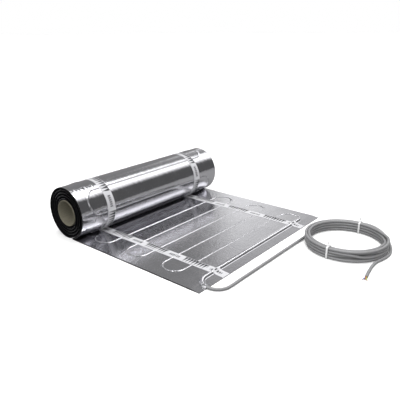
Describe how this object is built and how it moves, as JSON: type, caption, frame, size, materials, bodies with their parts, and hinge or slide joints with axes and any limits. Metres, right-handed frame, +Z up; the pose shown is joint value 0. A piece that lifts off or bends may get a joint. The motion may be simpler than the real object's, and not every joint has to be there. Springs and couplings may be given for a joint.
{
  "type": "underfloor heating mat",
  "caption": "Partly unrolled foil-faced underfloor heating mat on a cardboard core, with its heating cable in loops under the foil, fixing tapes and a coiled cold lead.",
  "frame": {"origin": "on the floor, under the middle of the mat with its roll", "axes": "+X along the roll's axis, the mat unrolls towards -Y, +Z up"},
  "size_m": [0.5, 0.715, 0.1304],
  "materials": {
    "backing": "matt black insulating backing",
    "foil": "bright foil with fine creases",
    "core": "wound grey-brown board",
    "heating_cable": "smooth",
    "tape": null,
    "lead": "mid-grey satin sheath",
    "tie": "natural white nylon",
    "conductor_brown": "smooth",
    "conductor_blue": "smooth",
    "conductor_earth": "smooth, green and yellow",
    "copper": "bare stranded copper"
  },
  "bodies": {
    "root": {"backing_layer": "backing", "foil_face": "foil", "core_tube": "core", "heating_cable_unrolled": "heating_cable", "heating_cable_on_roll": "heating_cable", "cold_lead_under_foil": "lead", "fixing_tape_left": "tape", "fixing_tape_right": "tape", "cold_lead": "lead", "cold_lead_coil": "lead", "cold_lead_tail": "lead", "cable_tie_left": "tie", "cable_tie_right": "tie", "conductor_blue": "conductor_blue", "conductor_brown": "conductor_brown", "conductor_earth": "conductor_earth", "copper_end_blue": "copper", "copper_end_brown": "copper", "copper_end_earth": "copper"}
  },
  "joints": []
}
